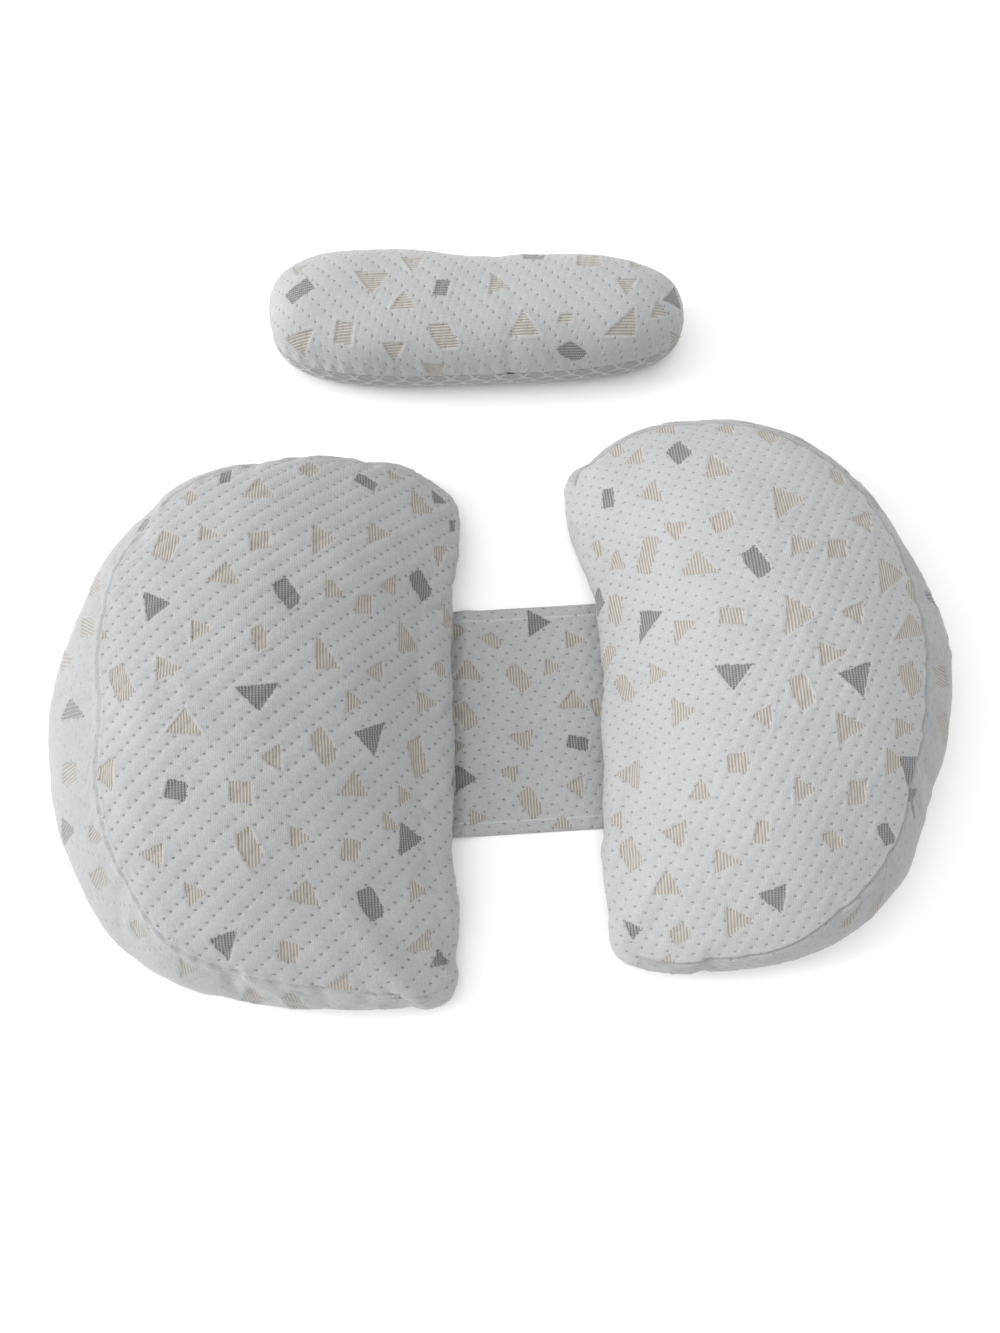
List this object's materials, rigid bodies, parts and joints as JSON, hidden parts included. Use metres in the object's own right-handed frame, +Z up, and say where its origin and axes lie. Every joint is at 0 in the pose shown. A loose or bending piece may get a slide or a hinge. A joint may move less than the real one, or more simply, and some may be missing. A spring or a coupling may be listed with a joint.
{
  "type": "pregnancy pillow set",
  "caption": "Side sleeper's pregnancy pillow: crowned half-moon wedges joined by a flat hemmed band, with a separate small oblong pillow.",
  "frame": {"origin": "middle of the whole set's footprint, on the surface that it lies on", "axes": "+X across the wedges from the left one to the right one, +Y from the wedges towards the small pillow, +Z up"},
  "size_m": [0.6978, 0.6368, 0.108],
  "materials": {
    "patterned_knit": "soft white air-layer knit with pin tucks and small beige and grey chips",
    "band_knit": "the same knit lying flat, hemmed along both edges",
    "honeycomb_knit": "grey-white knit with raised honeycomb cells"
  },
  "bodies": {
    "root": {"left_wedge": "patterned_knit", "right_wedge": "patterned_knit", "connecting_band": "band_knit", "small_pillow": "patterned_knit", "small_pillow_base": "honeycomb_knit"}
  },
  "joints": []
}
